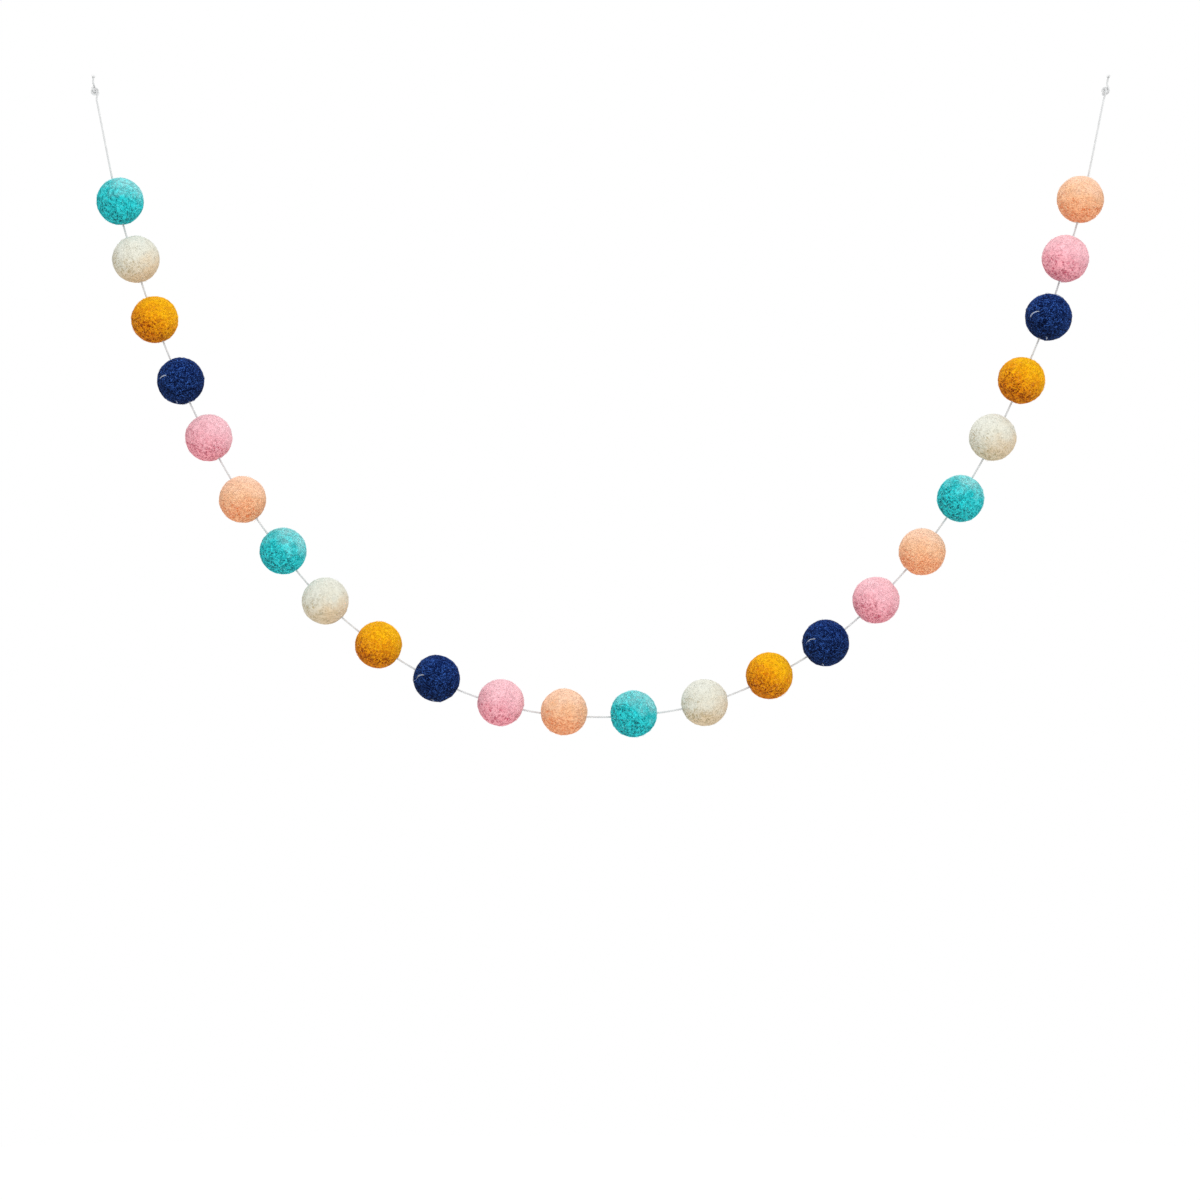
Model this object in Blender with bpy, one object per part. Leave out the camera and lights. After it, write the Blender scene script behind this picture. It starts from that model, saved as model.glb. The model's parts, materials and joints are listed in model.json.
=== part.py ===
# Felt ball garland: wool felt balls threaded on one thin cotton string, which hangs
# in a deep curve between its two knotted ends.
# Metres, +Z up, seen from the front along +Y. The origin is the string's left end.

import math
from collections import namedtuple

import bmesh
import bpy
from mathutils import Matrix, Vector

MM = 0.001

BALL_DIAMETER = 25 * MM
BALL_DETAIL = 3  # times that the ball's twenty first faces are split, counting the first
STRING_DIAMETER = 1.1 * MM
STRING_STEPS = 3  # straight pieces of tube between one ball's middle and the next
HOLE_GAP = 0.35 * MM  # between the string and the felt all round it
KNOT_GAP = 0.3 * MM  # between the string's end and the first of its knot
TUBE_SIDES = 2  # bevel resolution of every tube, which gives it eight sides

# One row a ball, from the left end to the right. x and z are where the string passes
# the ball's middle, and off is how far the ball's centre sits off the string towards
# the inside of the curve, because no ball is pierced quite through its centre. In mm.
Bead = namedtuple("Bead", "colour x z off")
BEADS = [
    Bead("teal", 11.0, -54.5, 1.5),
    Bead("cream", 20.0, -85.5, 1.0),
    Bead("mustard", 31.0, -117.5, 0.0),
    Bead("navy", 44.5, -150.5, 0.5),
    Bead("pink", 59.5, -181.0, 0.5),
    Bead("peach", 78.5, -213.5, -0.5),
    Bead("teal", 99.0, -242.0, 1.0),
    Bead("cream", 122.0, -268.5, 0.5),
    Bead("mustard", 150.5, -292.0, 0.5),
    Bead("navy", 181.5, -310.5, 1.0),
    Bead("pink", 216.0, -323.5, 1.0),
    Bead("peach", 250.0, -329.5, 2.0),
    Bead("teal", 287.5, -329.5, 1.0),
    Bead("cream", 325.5, -323.0, 0.5),
    Bead("mustard", 360.5, -309.0, 1.0),
    Bead("navy", 390.5, -291.0, 0.5),
    Bead("pink", 417.5, -268.0, 0.5),
    Bead("peach", 441.5, -241.5, -0.5),
    Bead("teal", 462.0, -213.0, -0.5),
    Bead("cream", 480.5, -181.0, 1.0),
    Bead("mustard", 495.0, -150.0, 0.0),
    Bead("navy", 509.0, -116.0, -0.5),
    Bead("pink", 519.0, -85.0, 0.5),
    Bead("peach", 528.0, -53.5, 1.5),
]
LEFT_END = (0.0, 0.0)  # x and z of the string's ends, mm
RIGHT_END = (539.0, 0.0)

# The overhand knot, in string diameters: across, along and depth. Its body is a curve
# that runs twice round a ring while it turns three times about the ring's own line.
KNOT_RING = 1.3
KNOT_WIND = 0.62  # how far the strand lies from the ring's own line
KNOT_OPEN = 35  # degrees of the closed curve left out at each end
KNOT_STEPS = 18
KNOT_SHIFT = 0.5  # the ring's centre lies this far to one side of the string
KNOT_SMOOTH = 2
# the strand's way into the body, and turned about, its way out
KNOT_LEAD = [
    (0.0, -4.2, 0.0),
    (0.3, -3.0, 0.15),
    (0.95, -2.0, 0.45),
    (1.4, -0.9, 0.7),
    (1.4, 0.2, 0.8),
    (0.85, 1.0, 0.74),
]
KNOT_TAIL = [(0.15, 5.3, 0.1), (0.4, 6.4, 0.3)]
KNOT_TURN = 60  # degrees about the string, the flat of the knot away from the front

# base colour of each felt and of the string, linear
COLOURS = {
    "teal": (0.055, 0.56, 0.57),
    "cream": (0.72, 0.67, 0.52),
    "mustard": (0.87, 0.36, 0.008),
    "navy": (0.006, 0.028, 0.145),
    "pink": (0.84, 0.34, 0.43),
    "peach": (0.92, 0.47, 0.23),
    "string": (0.78, 0.78, 0.79),
}
FELT_ROUGHNESS = 0.95
STRING_ROUGHNESS = 0.8


def clear_scene():
    for leftover in list(bpy.data.objects):
        bpy.data.objects.remove(leftover)


def new_collection(name):
    collection = bpy.data.collections.new(name)
    bpy.context.scene.collection.children.link(collection)
    return collection


def plain_material(name, colour, roughness):
    material = bpy.data.materials.new(name)
    material.use_nodes = True
    shader = material.node_tree.nodes["Principled BSDF"]
    shader.inputs["Base Color"].default_value = (*colour, 1)
    shader.inputs["Roughness"].default_value = roughness
    shader.inputs["Metallic"].default_value = 0
    return material


def front_point(x, z):
    # a point of the hanging plane, from millimetres
    return Vector((x * MM, 0, z * MM))


def smooth_curve(points, steps):
    # a Catmull-Rom curve through the points, each stretch in this many straight steps
    first = 2 * points[0] - points[1]
    last = 2 * points[-1] - points[-2]
    line = [first, *points, last]
    curve = []
    for before, start, end, after in zip(line, line[1:], line[2:], line[3:]):
        for step in range(steps):
            t = step / steps
            bend = 2 * before - 5 * start + 4 * end - after
            twist = 3 * start - before - 3 * end + after
            curve.append(start + 0.5 * ((end - before) * t + bend * t**2 + twist * t**3))
    return [*curve, points[-1]]


def tube(name, points, diameter, collection):
    line = bpy.data.curves.new(name, "CURVE")
    line.dimensions = "3D"
    line.bevel_depth = diameter / 2
    line.bevel_resolution = TUBE_SIDES
    line.use_fill_caps = True
    spline = line.splines.new("POLY")
    spline.points.add(len(points) - 1)
    for place, point in zip(spline.points, points):
        place.co = (*point, 1)
    piece = bpy.data.objects.new(name, line)
    collection.objects.link(piece)
    return piece


def as_cutter(piece):
    # a closed mesh in place of a tube, kept out of sight
    bpy.context.view_layer.update()
    evaluated = piece.evaluated_get(bpy.context.evaluated_depsgraph_get())
    mesh = bpy.data.meshes.new_from_object(evaluated)
    shape = bmesh.new()
    shape.from_mesh(mesh)
    bmesh.ops.remove_doubles(shape, verts=shape.verts, dist=0.01 * MM)
    shape.to_mesh(mesh)
    shape.free()
    cutter = bpy.data.objects.new(f"{piece.name}_cutter", mesh)
    cutter.matrix_world = piece.matrix_world
    cutter.hide_render = True
    cutter.display_type = "WIRE"
    piece.users_collection[0].objects.link(cutter)
    bpy.data.objects.remove(piece)
    return cutter


def felt_mesh(colour):
    # one sphere for all the balls of a colour
    mesh = bpy.data.meshes.new(f"felt_{colour}")
    shape = bmesh.new()
    bmesh.ops.create_icosphere(shape, subdivisions=BALL_DETAIL, radius=BALL_DIAMETER / 2)
    shape.to_mesh(mesh)
    shape.free()
    mesh.shade_smooth()
    mesh.set_sharp_from_angle(angle=math.radians(50))
    mesh.materials.append(plain_material(f"felt_{colour}", COLOURS[colour], FELT_ROUGHNESS))
    return mesh


def thread_ball(name, mesh, bead, before, after, cutter, collection):
    # a ball on the string between its neighbours' places, its own Z along the string
    along = (after - before).normalized()
    inwards = Vector((-along.z, 0, along.x))
    ball = bpy.data.objects.new(name, mesh)
    ball.location = front_point(bead.x, bead.z) + inwards * bead.off * MM
    ball.rotation_euler = along.to_track_quat("Z", "Y").to_euler()
    hole = ball.modifiers.new("string hole", "BOOLEAN")
    hole.operation = "DIFFERENCE"
    hole.solver = "EXACT"
    hole.object = cutter
    collection.objects.link(ball)
    return ball


def knot_line():
    # the knotted strand in string diameters, from the string's side to the tail's end
    body = []
    for step in range(KNOT_STEPS + 1):
        turn = math.radians(KNOT_OPEN + (360 - 2 * KNOT_OPEN) * step / KNOT_STEPS)
        reach = KNOT_RING + KNOT_WIND * math.cos(3 * turn)
        across = reach * math.cos(2 * turn) - KNOT_SHIFT
        body.append(Vector((across, reach * math.sin(2 * turn), KNOT_WIND * math.sin(3 * turn))))
    way_in = [Vector(point) for point in KNOT_LEAD]
    way_out = [Vector((across, -along, -depth)) for across, along, depth in reversed(KNOT_LEAD)]
    tail = [Vector(point) for point in KNOT_TAIL]
    return smooth_curve(way_in + body + way_out + tail, KNOT_SMOOTH)


def tie_knot(name, end, outwards, side, collection):
    # a knot a little beyond the end of the string, its tail leading on outwards
    across = Matrix.Rotation(math.radians(side * KNOT_TURN), 3, outwards) @ Vector((0, 1, 0)).cross(outwards)
    depth = across.cross(outwards)
    line = knot_line()
    start = end + outwards * (KNOT_GAP - line[0].y * STRING_DIAMETER)
    points = [start + (across * p.x + outwards * p.y + depth * p.z) * STRING_DIAMETER for p in line]
    return tube(name, points, STRING_DIAMETER, collection)


def build_garland():
    clear_scene()
    parts = new_collection("felt_ball_garland")
    cutters = new_collection("cutters")
    cotton = plain_material("cotton_string", COLOURS["string"], STRING_ROUGHNESS)

    places = [front_point(bead.x, bead.z) for bead in BEADS]
    places = [front_point(*LEFT_END), *places, front_point(*RIGHT_END)]
    route = smooth_curve(places, STRING_STEPS)
    string = tube("string", route, STRING_DIAMETER, parts)
    left = tie_knot("knot_left", route[0], (route[0] - route[1]).normalized(), 1, parts)
    right = tie_knot("knot_right", route[-1], (route[-1] - route[-2]).normalized(), -1, parts)
    for piece in (string, left, right):
        piece.data.materials.append(cotton)

    way = as_cutter(tube("string_way", route, STRING_DIAMETER + 2 * HOLE_GAP, cutters))
    felts = {bead.colour: None for bead in BEADS}
    for colour in felts:
        felts[colour] = felt_mesh(colour)
    for number, bead in enumerate(BEADS, 1):
        name = f"ball_{number:02d}_{bead.colour}"
        thread_ball(name, felts[bead.colour], bead, places[number - 1], places[number + 1], way, parts)


build_garland()
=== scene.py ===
# Felt ball garland: wool felt balls threaded on one twisted cotton string.
# Metres, +Z up, seen from the front along +Y. The origin is the string's left end.

import json
import math
import random
from collections import namedtuple

import bpy
from mathutils import Matrix, Vector

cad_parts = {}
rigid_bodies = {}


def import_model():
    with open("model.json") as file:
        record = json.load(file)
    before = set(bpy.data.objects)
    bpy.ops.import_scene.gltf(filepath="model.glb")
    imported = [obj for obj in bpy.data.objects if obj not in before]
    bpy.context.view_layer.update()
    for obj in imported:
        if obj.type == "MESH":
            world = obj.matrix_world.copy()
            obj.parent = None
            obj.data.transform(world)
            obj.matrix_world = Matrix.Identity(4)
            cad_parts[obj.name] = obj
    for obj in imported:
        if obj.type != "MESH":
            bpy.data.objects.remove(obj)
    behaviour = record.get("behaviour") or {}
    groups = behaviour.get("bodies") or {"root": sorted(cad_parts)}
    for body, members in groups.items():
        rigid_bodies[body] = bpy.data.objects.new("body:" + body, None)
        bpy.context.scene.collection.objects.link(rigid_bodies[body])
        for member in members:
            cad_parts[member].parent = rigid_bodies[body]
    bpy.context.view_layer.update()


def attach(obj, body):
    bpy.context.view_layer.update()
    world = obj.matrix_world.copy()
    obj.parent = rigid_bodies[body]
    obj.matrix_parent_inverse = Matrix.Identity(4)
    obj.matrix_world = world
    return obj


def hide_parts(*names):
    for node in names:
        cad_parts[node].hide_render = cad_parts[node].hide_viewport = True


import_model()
mm = 0.001
diceSeed = 11
dice = random.Random(diceSeed)


class Flow:
    # one output of a node; sums and products on it add Math nodes to its tree
    def __init__(self, tree, socket=None):
        self.tree = tree
        self.socket = socket

    def node(self, kind, settings=None, sockets=None, output=0):
        made = self.tree.nodes.new(kind)
        for name, value in (settings or {}).items():
            if name == "stops":
                ramp = made.color_ramp.elements
                while len(ramp) < len(value):
                    ramp.new(1)
                for stop, (place, colour) in zip(ramp, value):
                    stop.position = place
                    stop.color = colour
            else:
                setattr(made, name, value)
        for name, value in (sockets or {}).items():
            if isinstance(value, Flow):
                self.tree.links.new(value.socket, made.inputs[name])
            else:
                made.inputs[name].default_value = value
        return Flow(self.tree, made.outputs[output] if len(made.outputs) else None)

    def math(self, operation, *others):
        values = dict(enumerate([self, *others]))
        return self.node("ShaderNodeMath", {"operation": operation}, values)

    def vector(self, operation, *others, output=0):
        values = dict(enumerate([self, *others]))
        return self.node("ShaderNodeVectorMath", {"operation": operation}, values, output)

    def scaled(self, amount):
        sockets = {"Vector": self, "Scale": amount}
        return self.node("ShaderNodeVectorMath", {"operation": "SCALE"}, sockets)

    def __add__(self, other):
        return self.math("ADD", other)

    def __sub__(self, other):
        return self.math("SUBTRACT", other)

    def __rsub__(self, other):
        return self.node("ShaderNodeMath", {"operation": "SUBTRACT"}, {0: other, 1: self})

    def __mul__(self, other):
        return self.math("MULTIPLY", other)

    __radd__ = __add__
    __rmul__ = __mul__

    def rise(self, low, high, smooth="SMOOTHSTEP"):
        # 0 below low, 1 above high
        sockets = {"Value": self, "From Min": low, "From Max": high}
        return self.node("ShaderNodeMapRange", {"interpolation_type": smooth}, sockets)

    def noise(self, seed, scale, detail=2.0, rough=0.5, twist=0.0):
        # from 0 to 1 about the middle; scale is in grains for each unit of this place
        sockets = {"Vector": self, "W": seed, "Scale": scale, "Detail": detail,
                   "Roughness": rough, "Distortion": twist}
        return self.node("ShaderNodeTexNoise", {"noise_dimensions": "4D"}, sockets)

    def blend(self, first, second):
        # between two colours, the first where this is 0
        return self.node("ShaderNodeMix", {"data_type": "RGBA"}, {0: self, 6: first, 7: second}, 2)


# Camera, first because the cord is measured in its view
photo = {
    "width": 0.6424,  # metres across the picture at the garland
    "aim": (0.2694, 0, -0.2676),
    "lens": 100,
    "sensor": 36,
}


def setCamera():
    lens = bpy.data.cameras.new("photo camera")
    lens.lens = photo["lens"]
    lens.sensor_width = photo["sensor"]
    camera = bpy.data.objects.new("photo camera", lens)
    away = photo["width"] * photo["lens"] / photo["sensor"]
    camera.location = Vector(photo["aim"]) - Vector((0, away, 0))
    camera.rotation_euler = (math.radians(90), 0, 0)
    bpy.context.scene.collection.objects.link(camera)
    bpy.context.scene.camera = camera


setCamera()


def clearSelection():
    if bpy.context.object and bpy.context.object.mode != "OBJECT":
        bpy.ops.object.mode_set(mode="OBJECT")
    bpy.ops.object.select_all(action="DESELECT")


def pick(*objects):
    # selects these, with the first one active
    clearSelection()
    for one in objects:
        one.select_set(True)
    bpy.context.view_layer.objects.active = objects[0]


def applyModifiers(piece):
    pick(piece)
    for modifier in list(piece.modifiers):
        bpy.ops.object.modifier_apply(modifier=modifier.name)


def frontPoint(x, z):
    return Vector((x * mm, 0, z * mm))


def smoothCurve(points, steps):
    # a Catmull-Rom curve through the points
    line = [2 * points[0] - points[1], *points, 2 * points[-1] - points[-2]]
    curve = []
    for before, start, end, after in zip(line, line[1:], line[2:], line[3:]):
        for step in range(steps):
            t = step / steps
            bend = 2 * before - 5 * start + 4 * end - after
            twist = 3 * start - before - 3 * end + after
            curve.append(start + 0.5 * ((end - before) * t + bend * t**2 + twist * t**3))
    return [*curve, points[-1]]


def lengthOf(points):
    return sum((b - a).length for a, b in zip(points, points[1:]))


def paint(red, green, blue):
    # a colour as the screen shows it, 0 to 255, made linear
    parts = [value / 255 for value in (red, green, blue)]
    return (*(p / 12.92 if p < 0.04045 else ((p + 0.055) / 1.055) ** 2.4 for p in parts), 1)


def newMaterial(name, roughness):
    # a material, its shader, and the start of its other nodes
    material = bpy.data.materials.new(name)
    material.use_nodes = True
    shader = material.node_tree.nodes["Principled BSDF"]
    shader.inputs["Roughness"].default_value = roughness
    shader.inputs["Specular IOR Level"].default_value = 0.2
    return material, shader, Flow(material.node_tree)


def finishShader(shader, flow, colour, bump, depth):
    # bump is a height from 0 to 1, depth what 1 stands for in metres
    sockets = {"Strength": 1, "Distance": depth, "Height": bump}
    normal = flow.node("ShaderNodeBump", None, sockets)
    flow.tree.links.new(colour.socket, shader.inputs["Base Color"])
    flow.tree.links.new(normal.socket, shader.inputs["Normal"])


def newGroup(name, sockets):
    # a geometry node group with these inputs after its geometry
    tree = bpy.data.node_groups.new(name, "GeometryNodeTree")
    tree.interface.new_socket("Geometry", in_out="INPUT", socket_type="NodeSocketGeometry")
    tree.interface.new_socket("Geometry", in_out="OUTPUT", socket_type="NodeSocketGeometry")
    for socket, kind in sockets.items():
        tree.interface.new_socket(socket, in_out="INPUT", socket_type=f"NodeSocket{kind}")
    given = tree.nodes.new("NodeGroupInput")
    return tree, {socket.name: Flow(tree, socket) for socket in given.outputs if socket.name}


def endGroup(tree, geometry):
    result = tree.nodes.new("NodeGroupOutput")
    tree.links.new(geometry.socket, result.inputs["Geometry"])


def useGroup(piece, tree, values):
    modifier = piece.modifiers.new(tree.name, "NODES")
    modifier.node_group = tree
    for item in tree.interface.items_tree:
        if item.in_out == "INPUT" and item.name in values:
            modifier[item.identifier] = values[item.name]
    applyModifiers(piece)


# Loose fibres, of wool on the balls and of cotton on the string, in mm and radians. The
# second part is for the kind that stands on the surface.
loose = {
    "sides": 3,
    "shapes": 6,  # of each kind, to pick from
    "ends": 0.35,  # share of its thickness that a fibre keeps towards its ends, at least
    "lean": 0.25,  # off the surface's normal, either way

    "root": 0.25,  # how deep it starts in the surface
    "steps": 5,
    "length": 1.5,
    "thick": 0.05,
    "tilt": (0.1, 0.6),  # at its root
    "curl": (0.4, 1.5),  # tilt that is added at each step
    "uneven": (0.3, 0.9),  # share of that curl that a step gets
    "wander": 0.6,  # turned aside at each step, either way
}
bpy.ops.mesh.primitive_circle_add(vertices=loose["sides"], radius=1 * mm)
bpy.ops.object.convert(target="CURVE")
fibreRing = bpy.context.object


def fibreTube(name, points, thick):
    # a thin closed tube through points in mm, thinner towards its ends
    line = bpy.data.curves.new(name, "CURVE")
    line.dimensions = "3D"
    line.bevel_mode = "OBJECT"
    line.bevel_object = fibreRing
    line.use_fill_caps = True
    spline = line.splines.new("POLY")
    spline.points.add(len(points) - 1)
    for step, (place, point) in enumerate(zip(spline.points, points)):
        place.co = (*(Vector(point) * mm), 1)
        swell = math.sin(math.pi * (step + 0.6) / (len(points) + 0.2))
        place.radius = thick / 2 * (loose["ends"] + (1 - loose["ends"]) * swell)
    fibre = bpy.data.objects.new(name, line)
    bpy.context.scene.collection.objects.link(fibre)
    pick(fibre)
    bpy.ops.object.convert(target="MESH")
    bpy.ops.object.mode_set(mode="EDIT")
    bpy.ops.mesh.select_all(action="SELECT")
    bpy.ops.mesh.remove_doubles(threshold=0.001 * mm)
    bpy.ops.mesh.normals_make_consistent(inside=False)
    bpy.ops.object.mode_set(mode="OBJECT")
    bpy.ops.object.shade_smooth()
    return bpy.context.object


def fibreShapes(name, shape):
    # a collection of a few fibres of one kind
    group = bpy.data.collections.new(name)
    for number in range(loose["shapes"]):
        fibre = shape(f"{name} {number}")
        fibre.users_collection[0].objects.unlink(fibre)
        group.objects.link(fibre)
    return group


def standingFibre(name):
    # up out of the surface and curling over
    heading = dice.uniform(0, 2 * math.pi)
    curl = dice.uniform(*loose["curl"])
    point = Vector((0, 0, -loose["root"]))
    tilt = dice.uniform(*loose["tilt"])
    points = [point]
    stride = loose["length"] / loose["steps"]
    for step in range(loose["steps"]):
        over = math.sin(tilt)
        ahead = Vector((over * math.cos(heading), over * math.sin(heading), math.cos(tilt)))
        point = point + ahead * stride
        points.append(point)
        tilt += curl * dice.uniform(*loose["uneven"])
        heading += dice.uniform(-loose["wander"], loose["wander"])
    return fibreTube(name, points, loose["thick"])


def scatter(flow, on, fibres, density, seed, outer, sizes):
    # these fibres at random places, so many to a square mm, turned any way about the normal
    sockets = {"Mesh": on, "Selection": outer, "Density": density / mm**2, "Seed": seed}
    made = flow.node("GeometryNodeDistributePointsOnFaces", None, sockets)
    turn = Flow(flow.tree, made.socket.node.outputs["Rotation"])
    lean = loose["lean"]
    sockets = {"Min": (-lean, -lean, 0.0), "Max": (lean, lean, 2 * math.pi), "Seed": seed}
    spin = flow.node("FunctionNodeRandomValue", {"data_type": "FLOAT_VECTOR"}, sockets)
    sockets = {"Rotation": turn, "Rotate By": spin}
    turn = flow.node("FunctionNodeRotateRotation", {"rotation_space": "LOCAL"}, sockets)
    size = flow.node("FunctionNodeRandomValue", {"data_type": "FLOAT"},
                     {2: sizes[0], 3: sizes[1], "Seed": seed}, 1)
    shapes = flow.node("GeometryNodeCollectionInfo", None,
                       {"Collection": fibres, "Separate Children": True, "Reset Children": True})
    sockets = {"Points": made, "Instance": shapes, "Pick Instance": True,
               "Rotation": turn, "Scale": size}
    placed = flow.node("GeometryNodeInstanceOnPoints", None, sockets)
    return flow.node("GeometryNodeRealizeInstances", None, {"Geometry": placed})


def looseGroup(name, kinds, fromCentre=0):
    # loose fibres of these kinds, no nearer to the object's origin than this many mm
    tree, given = newGroup(name, {"seed": "Int", "fibre": "Material"})
    flow = Flow(tree)
    place = flow.node("GeometryNodeInputPosition").scaled(1 / mm)
    outer = place.vector("LENGTH", output=1).math("GREATER_THAN", fromCentre)
    joined = None
    for kind, (fibres, density, sizes) in enumerate(kinds):
        seed = given["seed"] + 50 * kind
        added = scatter(flow, given["Geometry"], fibres, density, seed, outer, sizes)
        if joined:
            flow.tree.links.new(added.socket, joined.socket.node.inputs["Geometry"])
        else:
            joined = flow.node("GeometryNodeJoinGeometry", None, {"Geometry": added})
    sockets = {"Geometry": joined, "Material": given["fibre"]}
    coated = flow.node("GeometryNodeSetMaterial", None, sockets)
    whole = flow.node("GeometryNodeJoinGeometry", None, {"Geometry": coated})
    flow.tree.links.new(given["Geometry"].socket, whole.socket.node.inputs["Geometry"])
    endGroup(tree, whole)
    return tree


# The string's way. One row a ball, left to right: x and z where the string passes the
# ball's middle, and off, how far the ball's centre sits off it towards the inside of the
# curve. In mm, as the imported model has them.
Bead = namedtuple("Bead", "colour x z off")
beads = [
    Bead("teal", 11.0, -54.5, 1.5),
    Bead("cream", 20.0, -85.5, 1.0),
    Bead("mustard", 31.0, -117.5, 0.0),
    Bead("navy", 44.5, -150.5, 0.5),
    Bead("pink", 59.5, -181.0, 0.5),
    Bead("peach", 78.5, -213.5, -0.5),
    Bead("teal", 99.0, -242.0, 1.0),
    Bead("cream", 122.0, -268.5, 0.5),
    Bead("mustard", 150.5, -292.0, 0.5),
    Bead("navy", 181.5, -310.5, 1.0),
    Bead("pink", 216.0, -323.5, 1.0),
    Bead("peach", 250.0, -329.5, 2.0),
    Bead("teal", 287.5, -329.5, 1.0),
    Bead("cream", 325.5, -323.0, 0.5),
    Bead("mustard", 360.5, -309.0, 1.0),
    Bead("navy", 390.5, -291.0, 0.5),
    Bead("pink", 417.5, -268.0, 0.5),
    Bead("peach", 441.5, -241.5, -0.5),
    Bead("teal", 462.0, -213.0, -0.5),
    Bead("cream", 480.5, -181.0, 1.0),
    Bead("mustard", 495.0, -150.0, 0.0),
    Bead("navy", 509.0, -116.0, -0.5),
    Bead("pink", 519.0, -85.0, 0.5),
    Bead("peach", 528.0, -53.5, 1.5),
]
stringEnds = {"left": (0, 0), "right": (539, 0)}

knot = {  # in string diameters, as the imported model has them: across, along and depth
    "ring": 1.3,
    "wind": 0.62,  # from the ring's own line to the strand
    "open": 35,  # degrees of the closed curve left out at each end
    "steps": 18,
    "shift": 0.5,  # the ring's centre to one side of the string
    "lead": [(0.0, -4.2, 0.0), (0.3, -3.0, 0.15), (0.95, -2.0, 0.45), (1.4, -0.9, 0.7),
             (1.4, 0.2, 0.8), (0.85, 1.0, 0.74)],
    "tail": [(0.15, 5.3, 0.1), (0.4, 6.4, 0.3)],
    "turn": 60,  # degrees about the string
    "gap": 0.3 * mm,  # from the string's end
    "smooth": 8,  # straight steps from one of its points to the next
}
string = {
    "diameter": 1.1 * mm,
    "smooth": 24,  # straight steps from one ball to the next
    "lay": 3.8 * mm,  # length of one full turn of the twist
    "plies": 3,
    "plyRadius": 0.28 * mm,
    "plySides": 8,
    "turnSteps": 12,
    "lint": (0.12, (0.3, 0.6)),  # loose ends on each square mm, and their sizes
    "worn": paint(201, 202, 202),
    "clean": paint(211, 212, 212),
    "between": paint(183, 184, 185),  # painted shade in the grooves between its fibres
    "looseGrooveShade": paint(203, 204, 205),  # the same painted shade on its loose ends
    "bump": 0.05,  # mm
    "looseBump": 0.01,
    "rough": 0.85,
}
fray = {  # the fibres at each cut end, in mm
    "count": 44,
    "reach": 0.4,  # from the middle of the cut to the outermost
    "sunk": 0.1,  # into the cut
    "turn": 2.4,  # radians from one to the next
    "spread": (-0.1, 0.45),  # sideways for each mm ahead
    "length": 1.9,
    "shortest": 0.3,  # share of that length
    "curl": 0.6,
    "steps": 5,
    "thick": 0.09,
}


def knotLine():
    # the knotted strand in string diameters, from the string's side to the tail's end
    body = []
    for step in range(knot["steps"] + 1):
        turn = math.radians(knot["open"] + (360 - 2 * knot["open"]) * step / knot["steps"])
        reach = knot["ring"] + knot["wind"] * math.cos(3 * turn)
        across = reach * math.cos(2 * turn) - knot["shift"]
        along, depth = reach * math.sin(2 * turn), knot["wind"] * math.sin(3 * turn)
        body.append(Vector((across, along, depth)))
    wayIn = [Vector(point) for point in knot["lead"]]
    wayOut = [Vector((x, -y, -z)) for x, y, z in reversed(knot["lead"])]
    tail = [Vector(point) for point in knot["tail"]]
    return smoothCurve(wayIn + body + wayOut + tail, knot["smooth"])


def knotPoints(end, outwards, side):
    turned = Matrix.Rotation(math.radians(side * knot["turn"]), 3, outwards)
    across = turned @ Vector((0, 1, 0)).cross(outwards)
    depth = across.cross(outwards)
    line = knotLine()
    wide = string["diameter"]
    start = end + outwards * (knot["gap"] - line[0].y * wide)
    return [start + (across * p.x + outwards * p.y + depth * p.z) * wide for p in line]


def routeCurve(points):
    # a curve object that the straight twine is bent along
    line = bpy.data.curves.new("string route", "CURVE")
    line.dimensions = "3D"
    line.twist_mode = "MINIMUM"
    line.use_path = True
    spline = line.splines.new("POLY")
    spline.points.add(len(points) - 1)
    for place, point in zip(spline.points, points):
        place.co = (*point, 1)
    route = bpy.data.objects.new("string route", line)
    bpy.context.scene.collection.objects.link(route)
    return route


def oneLay(lay):
    # one full turn of three plies, straight up from the origin
    clearSelection()
    circles = []
    for ply in range(string["plies"]):
        turn = 2 * math.pi * ply / string["plies"]
        reach = string["diameter"] / 2 - string["plyRadius"]
        place = (reach * math.cos(turn), reach * math.sin(turn), 0)
        bpy.ops.mesh.primitive_circle_add(
            vertices=string["plySides"], radius=string["plyRadius"], location=place
        )
        circles.append(bpy.context.object)
    pick(*circles)
    bpy.ops.object.join()
    twine = bpy.context.object
    bpy.context.scene.cursor.location = (0, 0, 0)
    bpy.ops.object.origin_set(type="ORIGIN_CURSOR")
    screw = twine.modifiers.new("twist", "SCREW")
    screw.steps = screw.render_steps = string["turnSteps"]
    screw.screw_offset = lay
    applyModifiers(twine)
    return twine


def twinePiece(name, lays, first, lay, route):
    # so many turns of the twine, bent along the route from this turn on
    twine = oneLay(lay)
    twine.name = name
    rows = twine.modifiers.new("lays", "ARRAY")
    rows.count = lays
    rows.use_relative_offset = False
    rows.use_constant_offset = True
    rows.constant_offset_displace = (0, 0, lay)
    rows.use_merge_vertices = True
    rows.merge_threshold = 0.01 * mm
    applyModifiers(twine)
    bpy.ops.object.mode_set(mode="EDIT")
    bpy.ops.mesh.select_all(action="SELECT")
    bpy.ops.transform.translate(value=(0, 0, first * lay))
    bpy.ops.mesh.select_all(action="DESELECT")
    bpy.ops.mesh.select_non_manifold()
    bpy.ops.mesh.edge_face_add()
    bpy.ops.mesh.select_all(action="SELECT")
    bpy.ops.mesh.normals_make_consistent(inside=False)
    bpy.ops.object.mode_set(mode="OBJECT")
    bend = twine.modifiers.new("route", "CURVE")
    bend.object = route
    bend.deform_axis = "POS_Z"
    applyModifiers(twine)
    bpy.ops.object.shade_smooth_by_angle(angle=math.radians(60))
    return twine


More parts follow.
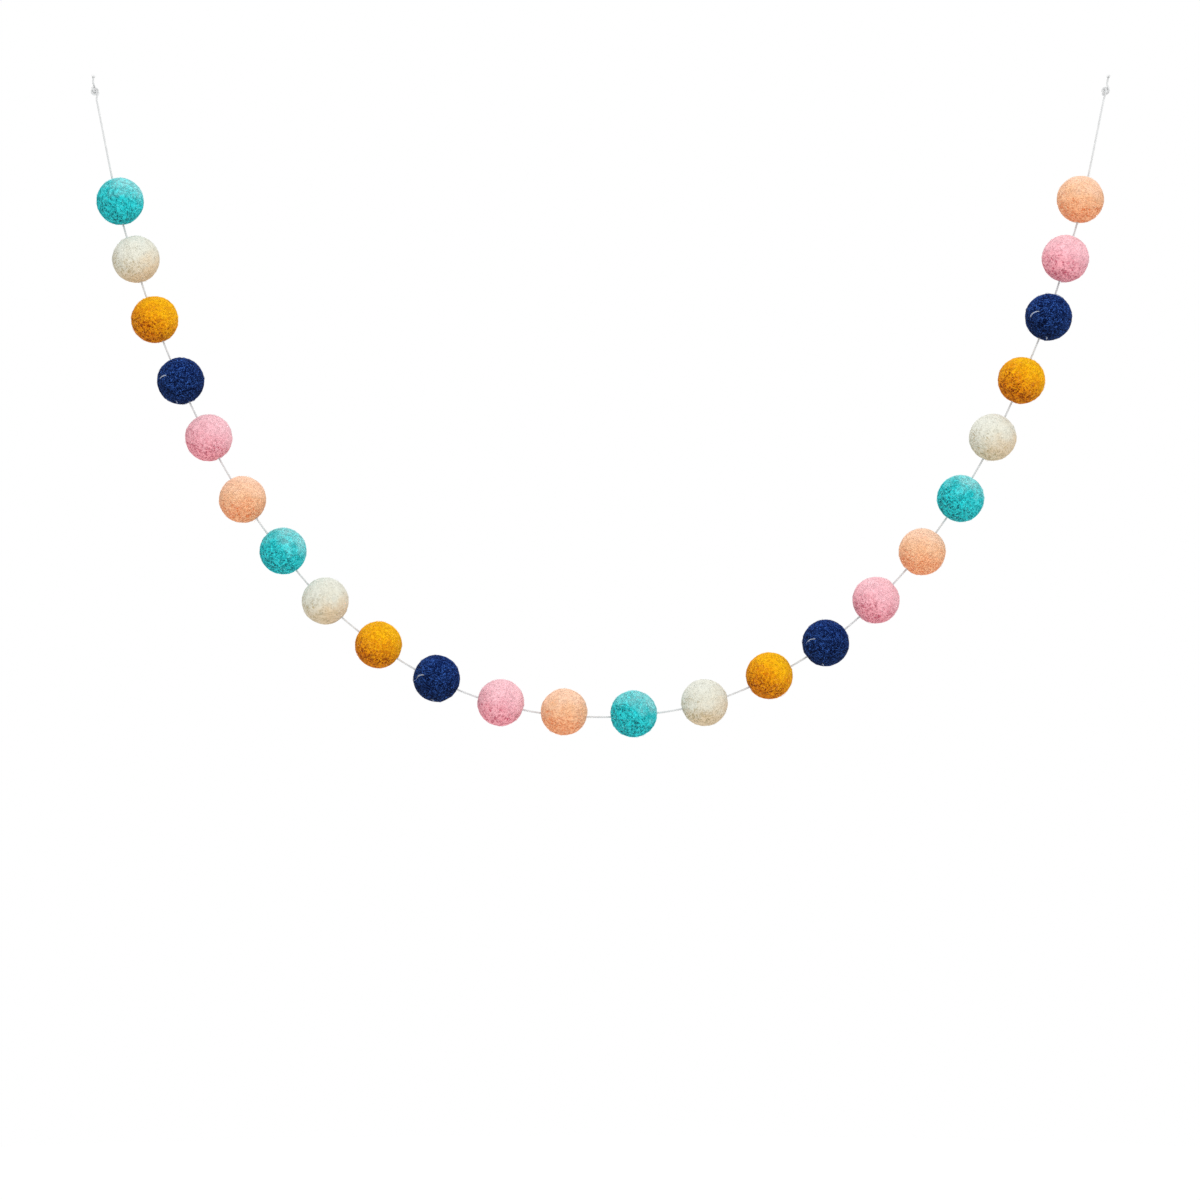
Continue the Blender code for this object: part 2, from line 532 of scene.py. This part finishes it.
def cottonMaterial(name, between, bump):
    # the second argument is a painted shade for the grooves of the cotton, bump their depth in mm
    cotton, shader, flow = newMaterial(name, string["rough"])
    place = flow.node("ShaderNodeTexCoord", output=3)
    wear = place.noise(1, 300, detail=3).rise(0.3, 0.7)
    fibre = place.noise(4, 5200, detail=3, rough=0.6, twist=1.5)
    colour = wear.blend(string["worn"], string["clean"])
    # painted shade where the fibre noise is low, in the grooves
    colour = fibre.rise(0.2, 0.6).blend(between, colour)
    finishShader(shader, flow, colour, fibre, bump * mm)
    return cotton


def frayEnd(piece, points, cotton):
    # loose fibres that spread from the cut end
    tip, ahead = points[-1] / mm, (points[-1] - points[-2]).normalized()
    aside = ahead.orthogonal()
    shares = [step / fray["steps"] for step in range(fray["steps"] + 1)]
    fibres = []
    for number in range(fray["count"]):
        out = Matrix.Rotation(number * fray["turn"], 3, ahead) @ aside
        outer = math.sqrt(number / fray["count"])
        start = tip + out * fray["reach"] * outer - ahead * fray["sunk"]
        way = (ahead + out * dice.uniform(*fray["spread"])) * fray["length"]
        way *= dice.uniform(fray["shortest"], 1)
        curl = Vector([dice.uniform(-1, 1) for axis in "xyz"]) * fray["curl"]
        line = [start + way * share + curl * share * share for share in shares]
        fibres.append(fibreTube("frayed cotton", line, fray["thick"]))
        fibres[-1].data.materials.append(cotton)
    pick(piece, *fibres)
    bpy.ops.object.join()


def makeString():
    # makes the string and its knots, and gives the places of its ends and balls
    stops = [frontPoint(bead.x, bead.z) for bead in beads]
    stops = [frontPoint(*stringEnds["left"]), *stops, frontPoint(*stringEnds["right"])]
    way = smoothCurve(stops, string["smooth"])
    leftKnot = knotPoints(way[0], (way[0] - way[1]).normalized(), 1)
    rightKnot = knotPoints(way[-1], (way[-1] - way[-2]).normalized(), -1)
    whole = [*reversed(leftKnot), *way, *rightKnot]
    route = routeCurve(whole)
    knotLays = round((lengthOf(leftKnot) + knot["gap"]) / string["lay"])
    lays = round(lengthOf(way) / string["lay"])
    lay = lengthOf(whole) / (lays + 2 * knotLays)

    cotton = cottonMaterial("cotton string", string["between"], string["bump"])
    fluff = cottonMaterial("loose cotton", string["looseGrooveShade"], string["looseBump"])
    parts = [
        ("twisted_string", "string", lays, knotLays),
        ("left_knot_twine", "knot_left", knotLays, 0),
        ("right_knot_twine", "knot_right", knotLays, knotLays + lays),
    ]
    shapes = fibreShapes("lint", standingFibre)
    lint = looseGroup("cotton lint", [(shapes, *string["lint"])])
    for number, (name, node, count, first) in enumerate(parts):
        piece = twinePiece(name, count, first, lay, route)
        piece.data.materials.append(cotton)
        piece.data.materials.append(fluff)
        useGroup(piece, lint, {"seed": number, "fibre": fluff})
        if node != "string":
            frayEnd(piece, leftKnot if node == "knot_left" else rightKnot, fluff)
        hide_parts(node)
        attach(piece, "root")
    for spare in [route, *shapes.objects]:
        bpy.data.objects.remove(spare)
    round(lengthOf(way), 4)
    return stops


# Felt balls. A place on a ball is in mm from its centre, as the garland hangs.
ball = {
    "radius": 12.5 * mm,
    "cuts": 6,  # cuts in each edge of the first sphere's 320 faces
    "openTo": 0.75 * mm,  # faces this close to the string's line open into its hole
    "shiftWidth": 7 * mm,  # how far round the hole moves with it
    "dimple": 0.3,  # mm that the felt sinks round the string
    "dimpleWidth": 1.6,
    "lump": 0.55,  # mm between the highest lump and the lowest hollow
    "lumpScale": 0.12,  # lumps in a mm
    "strandHigh": 0.16,  # mm that the bundles of wool rise over the pits between them
    "strandLevel": 0.6,  # share of that height that lies under the smooth ball
    "strandScale": 0.4,  # bundles in a mm
    "strandWide": (0.13, 0.11),  # of the two sets of bundles, in the noise that draws them
    "reliefFrom": (10, 12),  # mm from the centre, where all this starts and where it is whole
    "looseFrom": 11.7,  # mm from the centre that loose wool starts, outside the hole
    "standing": (0.15, (0.5, 1.2)),  # loose ends on each square mm, and their sizes
    "lying": (0.15, (0.6, 1.2)),  # strands on each square mm, and their sizes
}
lying = {  # a strand of wool along the felt, in mm and radians
    "steps": 4,
    "length": 3.2,
    "thick": 0.15,
    "high": 0.11,  # its middle over the felt
    "sunk": 1.2,  # its ends under the felt, as a share of that
    "heading": 0.6,  # at its start, either way
    "swing": 0.9,  # turned aside at each step, either way
    "uneven": (0.2, 0.8),  # share of that swing that a step gets
}


def plainBall():
    # a sphere of even triangles, with a hole through it from pole to pole
    clearSelection()
    bpy.ops.mesh.primitive_ico_sphere_add(subdivisions=3, radius=ball["radius"])
    piece = bpy.context.object
    bpy.ops.object.mode_set(mode="EDIT")
    bpy.ops.mesh.select_all(action="SELECT")
    bpy.ops.mesh.subdivide(number_cuts=ball["cuts"])
    bpy.ops.transform.tosphere(value=1)
    bpy.ops.mesh.select_all(action="DESELECT")
    bpy.ops.object.mode_set(mode="OBJECT")
    for face in piece.data.polygons:
        face.select = math.hypot(face.center.x, face.center.y) < ball["openTo"]
    bpy.ops.object.mode_set(mode="EDIT")
    bpy.ops.mesh.delete(type="FACE")
    bpy.ops.mesh.select_all(action="DESELECT")
    bpy.ops.mesh.select_non_manifold()
    bpy.ops.mesh.bridge_edge_loops(number_cuts=5)
    bpy.ops.mesh.select_all(action="SELECT")
    bpy.ops.mesh.normals_make_consistent(inside=False)
    bpy.ops.mesh.quads_convert_to_tris()
    bpy.ops.object.mode_set(mode="OBJECT")
    piece.name = "plain ball"
    return piece


def moveHole(mesh, off):
    # the hole runs to one side of the middle, and the felt round it goes with it
    for vertex in mesh.vertices:
        place = vertex.co
        outer = place.length > 0.98 * ball["radius"]  # the hole's inside isn't
        reach = math.hypot(place.x, place.y) / ball["shiftWidth"]
        place.y -= off * math.exp(-reach * reach)
        if outer:
            vertex.co = place.normalized() * ball["radius"]


def strandLines(place, seed, scale, width, twist=1.2):
    # 1 along lines that wander over the felt like worm tracks, 0 between them
    line = (place.noise(seed, scale, detail=0.6, twist=twist) - 0.5).math("ABSOLUTE")
    return 1 - line.rise(0, width)


def wideStrands(place, seed):
    # the raised bundles of wool that the photo shows, in two sizes
    wider, narrower = ball["strandWide"]
    first = strandLines(place, seed, ball["strandScale"], wider)
    second = strandLines(place, seed + 31.7, ball["strandScale"] * 1.35, narrower)
    return first.math("MAXIMUM", second * 0.85)


def reliefGroup():
    # lumps, creases and the dimple at the string, pushed along the ball's own radius
    sockets = {"seed": "Float", "squash": "Vector", "string": "Vector", "along": "Vector"}
    tree, given = newGroup("felt relief", sockets)
    flow = Flow(tree)
    place = flow.node("GeometryNodeInputPosition").scaled(1 / mm)
    seed = given["seed"]
    outer = place.vector("LENGTH", output=1).rise(*ball["reliefFrom"])
    lumps = (place.noise(seed, ball["lumpScale"], detail=1) - 0.5) * ball["lump"]
    bundles = wideStrands(place.vector("MULTIPLY", given["squash"]), seed) - ball["strandLevel"]
    aside = place.vector("SUBTRACT", given["string"]).vector("CROSS_PRODUCT", given["along"])
    aside = aside.vector("LENGTH", output=1) * (1 / ball["dimpleWidth"])
    dimple = (aside * aside * -1).math("EXPONENT")
    height = (lumps + bundles * ball["strandHigh"] - dimple * ball["dimple"]) * outer * mm
    push = place.vector("NORMALIZE").scaled(height)
    sockets = {"Geometry": given["Geometry"], "Offset": push}
    moved = flow.node("GeometryNodeSetPosition", None, sockets)
    sockets = {"Geometry": moved, "Name": "felt place", "Value": place}
    stored = flow.node("GeometryNodeStoreNamedAttribute", {"data_type": "FLOAT_VECTOR"}, sockets)
    sockets = {"Geometry": stored, "Name": "felt seed", "Value": seed}
    endGroup(tree, flow.node("GeometryNodeStoreNamedAttribute", {"data_type": "FLOAT"}, sockets))
    return tree


def lyingStrand(name):
    # along the felt, with both ends in it
    points = []
    heading = dice.uniform(-lying["heading"], lying["heading"])
    swing = dice.uniform(-lying["swing"], lying["swing"])
    point = Vector((-lying["length"] / 2, 0, 0))
    stride = lying["length"] / lying["steps"]
    radius = ball["radius"] / mm
    for step in range(lying["steps"] + 1):
        share = step / lying["steps"]
        arch = math.sin(math.pi * share) * (1 + lying["sunk"]) - lying["sunk"]
        drop = (point.x**2 + point.y**2) / 2 / radius  # as the ball curves away
        points.append(Vector((point.x, point.y, lying["high"] * arch - drop)))
        point = point + Vector((math.cos(heading), math.sin(heading), 0)) * stride
        heading += swing * dice.uniform(*lying["uneven"])
    return fibreTube(name, points, lying["thick"])


# Each felt's colours, in order: pale at its top, a painted light; its own in the middle; low
# on its underside, a painted shade; a painted shade in the pits between its strands; and a
# painted highlight on the strands. Then the sides of the ball, x and z, where the low shade and
# the pit shade are strongest, and how dark the pit shade is there and on the rest. shine is how
# strong the strands' painted highlight is, strandFrom how high a strand stands before it pales,
# relief the height of the bump in mm, fuzz the loose wool's palest colour, a painted light that
# pales the rim, sheen how much of it the felt takes at its rim, and squash lays the strands level.
felts = {
    "teal": {
        "pale": paint(168, 236, 238), "felt": paint(0, 198, 204), "low": paint(0, 204, 209),
        "pitShade": paint(0, 74, 88), "strand": paint(74, 229, 233), "fuzz": paint(160, 240, 244),
        "paintedShadeAt": (-0.4, -0.8), "pitShadeAt": (-0.5, -0.6), "pitShadeDepth": 1.6, "pitShadeElsewhere": 0.36,
        "shine": 1, "strandFrom": 0.25, "relief": 0.75, "sheen": 0.15, "squash": (1, 1, 1),
    },
    "cream": {
        "pale": paint(211, 212, 201), "felt": paint(207, 205, 190), "low": paint(208, 186, 153),
        "pitShade": paint(164, 148, 110), "strand": paint(228, 225, 212), "fuzz": paint(232, 229, 220),
        "paintedShadeAt": (0.35, -0.9), "pitShadeAt": (-0.5, -0.8), "pitShadeDepth": 1.1, "pitShadeElsewhere": 0,
        "shine": 0.3, "strandFrom": 0.3, "relief": 0.2, "sheen": 0.12, "squash": (1, 1, 1),
    },
    "mustard": {
        "pale": paint(248, 180, 4), "felt": paint(232, 144, 4), "low": paint(210, 104, 4),
        "pitShade": paint(108, 22, 0), "strand": paint(255, 200, 26), "fuzz": paint(255, 208, 110),
        "paintedShadeAt": (-0.5, -0.8), "pitShadeAt": (-0.5, -0.85), "pitShadeDepth": 1.4, "pitShadeElsewhere": 0.16,
        "shine": 0.7, "strandFrom": 0.3, "relief": 0.5, "sheen": 0.12, "squash": (1, 1, 1),
    },
    "navy": {
        "pale": paint(0, 22, 78), "felt": paint(0, 13, 57), "low": paint(0, 11, 46),
        "pitShade": paint(0, 2, 20), "strand": paint(66, 114, 206), "fuzz": paint(54, 90, 164),
        "paintedShadeAt": (-0.2, -0.9), "pitShadeAt": (-0.3, -0.7), "pitShadeDepth": 1, "pitShadeElsewhere": 0.5,
        "shine": 0.95, "strandFrom": 0.52, "relief": 0.5, "sheen": 0.12, "squash": (1, 1, 1.3),
    },
    "pink": {
        "pale": paint(244, 193, 201), "felt": paint(234, 171, 181), "low": paint(241, 156, 167),
        "pitShade": paint(184, 70, 94), "strand": paint(255, 204, 210), "fuzz": paint(255, 220, 226),
        "paintedShadeAt": (-0.3, -0.9), "pitShadeAt": (-0.35, -0.85), "pitShadeDepth": 1.15, "pitShadeElsewhere": 0.11,
        "shine": 0.35, "strandFrom": 0.3, "relief": 0.4, "sheen": 0.2, "squash": (1, 1, 1),
    },
    "peach": {
        "pale": paint(247, 202, 172), "felt": paint(238, 181, 138), "low": paint(245, 169, 119),
        "pitShade": paint(222, 106, 46), "strand": paint(255, 214, 180), "fuzz": paint(255, 224, 204),
        "paintedShadeAt": (-0.1, -1), "pitShadeAt": (-0.2, -0.9), "pitShadeDepth": 1.3, "pitShadeElsewhere": 0.06,
        "shine": 0.45, "strandFrom": 0.3, "relief": 0.36, "sheen": 0.25, "squash": (1, 1, 1.6),
    },
}
grain = {  # the same for all the felts
    "rough": 0.95,
    "specular": 0.06,
    "sheenRough": 0.5,
    "wide": 0.8,  # share of the bump that the bundles of wool have
    "thin": 0.22,
    "finest": 0.14,
    "looseRough": 0.9,
    "looseBump": 0.02,  # mm
}


def towards(place, side):
    # from -1 to 1, how far a place lies to this side of its ball
    radius = ball["radius"] / mm
    return place.vector("DOT_PRODUCT", (side[0] / radius, 0, side[1] / radius), output=1)


def paintedFeltShading(flow, look):
    # the felt's colour, with a painted light at its top and a painted shade on its low side, and
    # the place and seed it came from
    place = flow.node("ShaderNodeAttribute", {"attribute_name": "felt place"}, output=1)
    seed = flow.node("ShaderNodeAttribute", {"attribute_name": "felt seed"}, output=2)
    cloud = place.noise(seed, 0.16, detail=3, rough=0.55) - 0.5
    # pale stands for painted light and low for painted shade
    stops = [(0.12, look["pale"]), (0.45, look["felt"]), (0.86, look["low"])]
    # the cloud keeps the three colours from meeting along an even line
    tone = towards(place, look["paintedShadeAt"]) * 0.5 + cloud * 0.8 + 0.5
    return place, seed, flow.node("ShaderNodeValToRGB", {"stops": stops}, {"Fac": tone})


def feltMaterial(name, look):
    felt, shader, flow = newMaterial(f"felt {name}", grain["rough"])
    place, seed, colour = paintedFeltShading(flow, look)
    side = towards(place, look["pitShadeAt"])
    place = place.vector("MULTIPLY", look["squash"])
    wide = wideStrands(place, seed)
    thin = strandLines(place, seed + 3.1, scale=0.75, width=0.05, twist=1.4)
    thinner = strandLines(place, seed + 5.3, scale=1.1, width=0.06, twist=1.4)
    thin = thin.math("MAXIMUM", thinner)
    finest = place.noise(seed, 4.5, detail=3, rough=0.65, twist=0.8)
    # a painted shade lies in the pits between the bundles, most on its own side, and thin strands
    # cross them
    shadedSide = (side + (place.noise(seed, 0.2) - 0.5) * 1.6).rise(-0.2, 0.7)
    depth = shadedSide * (look["pitShadeDepth"] - look["pitShadeElsewhere"]) + look["pitShadeElsewhere"]
    pitShade = (1 - wide) * (1.12 - thin * 0.6)
    colour = (pitShade * pitShade * depth).math("MINIMUM", 1).blend(colour, look["pitShade"])
    # a painted highlight makes the highest strands the palest, less so where the painted pit shade
    # is strongest
    highlightMask = (wide * 0.55 + thin * 0.5 + (finest - 0.5) * 0.5).rise(look["strandFrom"], 1.1)
    colour = (highlightMask * (1 - shadedSide * 0.4) * look["shine"]).blend(colour, look["strand"])
    relief = wide * grain["wide"] + thin * grain["thin"] + finest * grain["finest"]
    finishShader(shader, flow, colour, relief, look["relief"] * mm)
    shader.inputs["Specular IOR Level"].default_value = grain["specular"]
    shader.inputs["Sheen Weight"].default_value = look["sheen"]
    shader.inputs["Sheen Roughness"].default_value = grain["sheenRough"]
    shader.inputs["Sheen Tint"].default_value = look["fuzz"]
    return felt


def woolMaterial(name, look):
    # the loose wool is the felt's colour with its painted light and shade, a little paler, as a
    # painted light that pales the ball's rim
    fluff, shader, flow = newMaterial(f"loose wool {name}", grain["looseRough"])
    place, seed, colour = paintedFeltShading(flow, look)
    share = place.noise(seed, 1.4, detail=1).rise(0.3, 0.7) * 0.65
    colour = share.blend(colour, look["fuzz"])
    bump = place.noise(seed, 8, detail=1)
    finishShader(shader, flow, colour, bump, grain["looseBump"] * mm)
    shader.inputs["Specular IOR Level"].default_value = grain["specular"]
    return fluff


# White wool caught in some felts, on the front. For each felt that has it, how many strands
# lie together and their way in x and z, in ball radii.
stray = {
    "thick": 0.2,  # mm
    "high": (0.08, 0.22),  # mm over the felt
    "apart": 0.013,  # ball radii from one strand to the next
    "wander": 0.004,
    "dull": paint(150, 166, 194),
    "white": paint(214, 221, 232),
    "in": {"navy": [
        (5, [(-0.85, -0.06), (-0.8, 0.05), (-0.71, 0.13), (-0.59, 0.17), (-0.5, 0.17)]),
        (3, [(-0.2, -0.88), (-0.15, -0.89), (-0.12, -0.93), (-0.12, -0.97)]),
    ]},
}


def strayMaterial():
    white, shader, flow = newMaterial("stray white wool", grain["looseRough"])
    place = flow.node("ShaderNodeTexCoord", output=3)
    colour = place.noise(7, 900).blend(stray["dull"], stray["white"])
    bump = place.noise(8, 6000, detail=1)
    finishShader(shader, flow, colour, bump, grain["looseBump"] * mm)
    return white


def addStrays(piece, bundles, white):
    fibres = []
    for count, way in bundles:
        for number in range(count):
            asideX, asideZ = dice.gauss(0, stray["apart"]), dice.gauss(0, stray["apart"])
            high = ball["radius"] / mm + dice.uniform(*stray["high"])
            points = []
            for x, z in way[dice.randint(0, 1):]:
                x += asideX + dice.gauss(0, stray["wander"])
                z += asideZ + dice.gauss(0, stray["wander"])
                points.append(Vector((x, -math.sqrt(max(0, 1 - x * x - z * z)), z)) * high)
            fibres.append(fibreTube("stray wool", smoothCurve(points, 3), stray["thick"]))
            fibres[-1].data.materials.append(white)
    pick(piece, *fibres)
    bpy.ops.object.join()


def ballTurn(before, after):
    # the string's direction, the inside of the curve, and a matrix with its Z and Y there
    along = (after - before).normalized()
    inwards = Vector((-along.z, 0, along.x))
    return along, inwards, Matrix((inwards.cross(along), inwards, along)).transposed().to_4x4()


def makeBalls(stops):
    relief = reliefGroup()
    ends = fibreShapes("standing wool", standingFibre)
    strands = fibreShapes("lying wool", lyingStrand)
    kinds = [(ends, *ball["standing"]), (strands, *ball["lying"])]
    wool = looseGroup("loose wool", kinds, ball["looseFrom"])
    felt = {name: feltMaterial(name, look) for name, look in felts.items()}
    fluff = {name: woolMaterial(name, look) for name, look in felts.items()}
    white = strayMaterial()
    plain = plainBall()
    for number, bead in enumerate(beads, 1):
        along, inwards, turn = ballTurn(stops[number - 1], stops[number + 1])
        piece = plain.copy()
        piece.data = plain.data.copy()
        piece.name = f"felt_ball_{number:02d}_{bead.colour}"
        bpy.context.scene.collection.objects.link(piece)
        moveHole(piece.data, bead.off * mm)
        piece.data.transform(turn)
        values = {"seed": number * 7.3, "squash": felts[bead.colour]["squash"],
                  "string": inwards * -bead.off, "along": along}
        useGroup(piece, relief, values)
        piece.data.materials.append(felt[bead.colour])
        piece.data.materials.append(fluff[bead.colour])
        bpy.ops.object.shade_smooth()
        useGroup(piece, wool, {"seed": number, "fibre": fluff[bead.colour]})
        if bead.colour in stray["in"]:
            addStrays(piece, stray["in"][bead.colour], white)
        centre = frontPoint(bead.x, bead.z) + inwards * bead.off * mm
        piece.data.transform(Matrix.Translation(centre))
        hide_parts(f"ball_{number:02d}_{bead.colour}")
        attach(piece, "root")
    for spare in [plain, *ends.objects, *strands.objects]:
        bpy.data.objects.remove(spare)
    print("felt balls:", len(beads), "pieces, the last of", len(piece.data.polygons), "faces")


makeBalls(makeString())
bpy.data.objects.remove(fibreRing)


# Studio: white all round, a soft key light from the top right, weaker ones from below and
# behind, and a pale floor that fades into the white
studio = {
    "floor": -1.6,
    "floorRadius": 6.5,
    "floorFade": (1.0, 5.0),  # m from its middle, where it starts to fade and where it is white
    "floorPaint": (paint(246, 246, 246), paint(250, 250, 250)),
    "fill": 0.92,  # how bright the white around lights the felt
    "aim": (1, 1, 0.6),  # the lamps point at the camera's aim times this
    "key": {"place": (0.6, -1.3, 1.1), "size": 0.9, "power": 18},
    "low": {"place": (0.27, -1.3, -1.45), "size": 1.2, "power": 6},
    "back": {"place": (-0.4, 1.6, 1.3), "size": 1.2, "power": 12},
}


def setStudio():
    scene = bpy.context.scene
    scene.view_settings.view_transform = "Standard"
    world = bpy.data.worlds.new("white studio")
    world.use_nodes = True
    scene.world = world
    flow = Flow(world.node_tree)
    back = world.node_tree.nodes["Background"]
    seen = flow.node("ShaderNodeLightPath")
    strength = seen.rise(0, 1, "LINEAR") * (1 - studio["fill"]) + studio["fill"]
    back.inputs["Color"].default_value = (1, 1, 1, 1)
    flow.tree.links.new(strength.socket, back.inputs["Strength"])

    for name in ("key", "low", "back"):
        look = studio[name]
        lamp = bpy.data.lights.new(f"{name} light", "AREA")
        lamp.shape = "DISK"
        lamp.size = look["size"]
        lamp.energy = look["power"]
        light = bpy.data.objects.new(f"{name} light", lamp)
        light.location = look["place"]
        aim = Vector(photo["aim"]) * Vector(studio["aim"])
        light.rotation_euler = (aim - light.location).to_track_quat("-Z", "Y").to_euler()
        scene.collection.objects.link(light)

    clearSelection()
    middle = (photo["aim"][0], 0, studio["floor"])
    bpy.ops.mesh.primitive_circle_add(
        vertices=96, radius=studio["floorRadius"], fill_type="NGON", location=middle
    )
    bpy.ops.object.transform_apply(location=True, rotation=False, scale=False)
    floor = bpy.context.object
    floor.name = "floor"
    pale, shader, flow = newMaterial("pale floor", 0.9)
    place = flow.node("ShaderNodeTexCoord", output=3)
    away = place.vector("DISTANCE", middle, output=1).rise(*studio["floorFade"])
    colour = place.noise(2, 0.6).blend(*studio["floorPaint"])
    black, white = paint(0, 0, 0), paint(255, 255, 255)
    finishShader(shader, flow, away.blend(colour, black), place.noise(3, 40), 0.2 * mm)
    flow.tree.links.new(away.blend(black, white).socket, shader.inputs["Emission Color"])
    shader.inputs["Emission Strength"].default_value = 1
    floor.data.materials.append(pale)
    print("studio set")


setStudio()
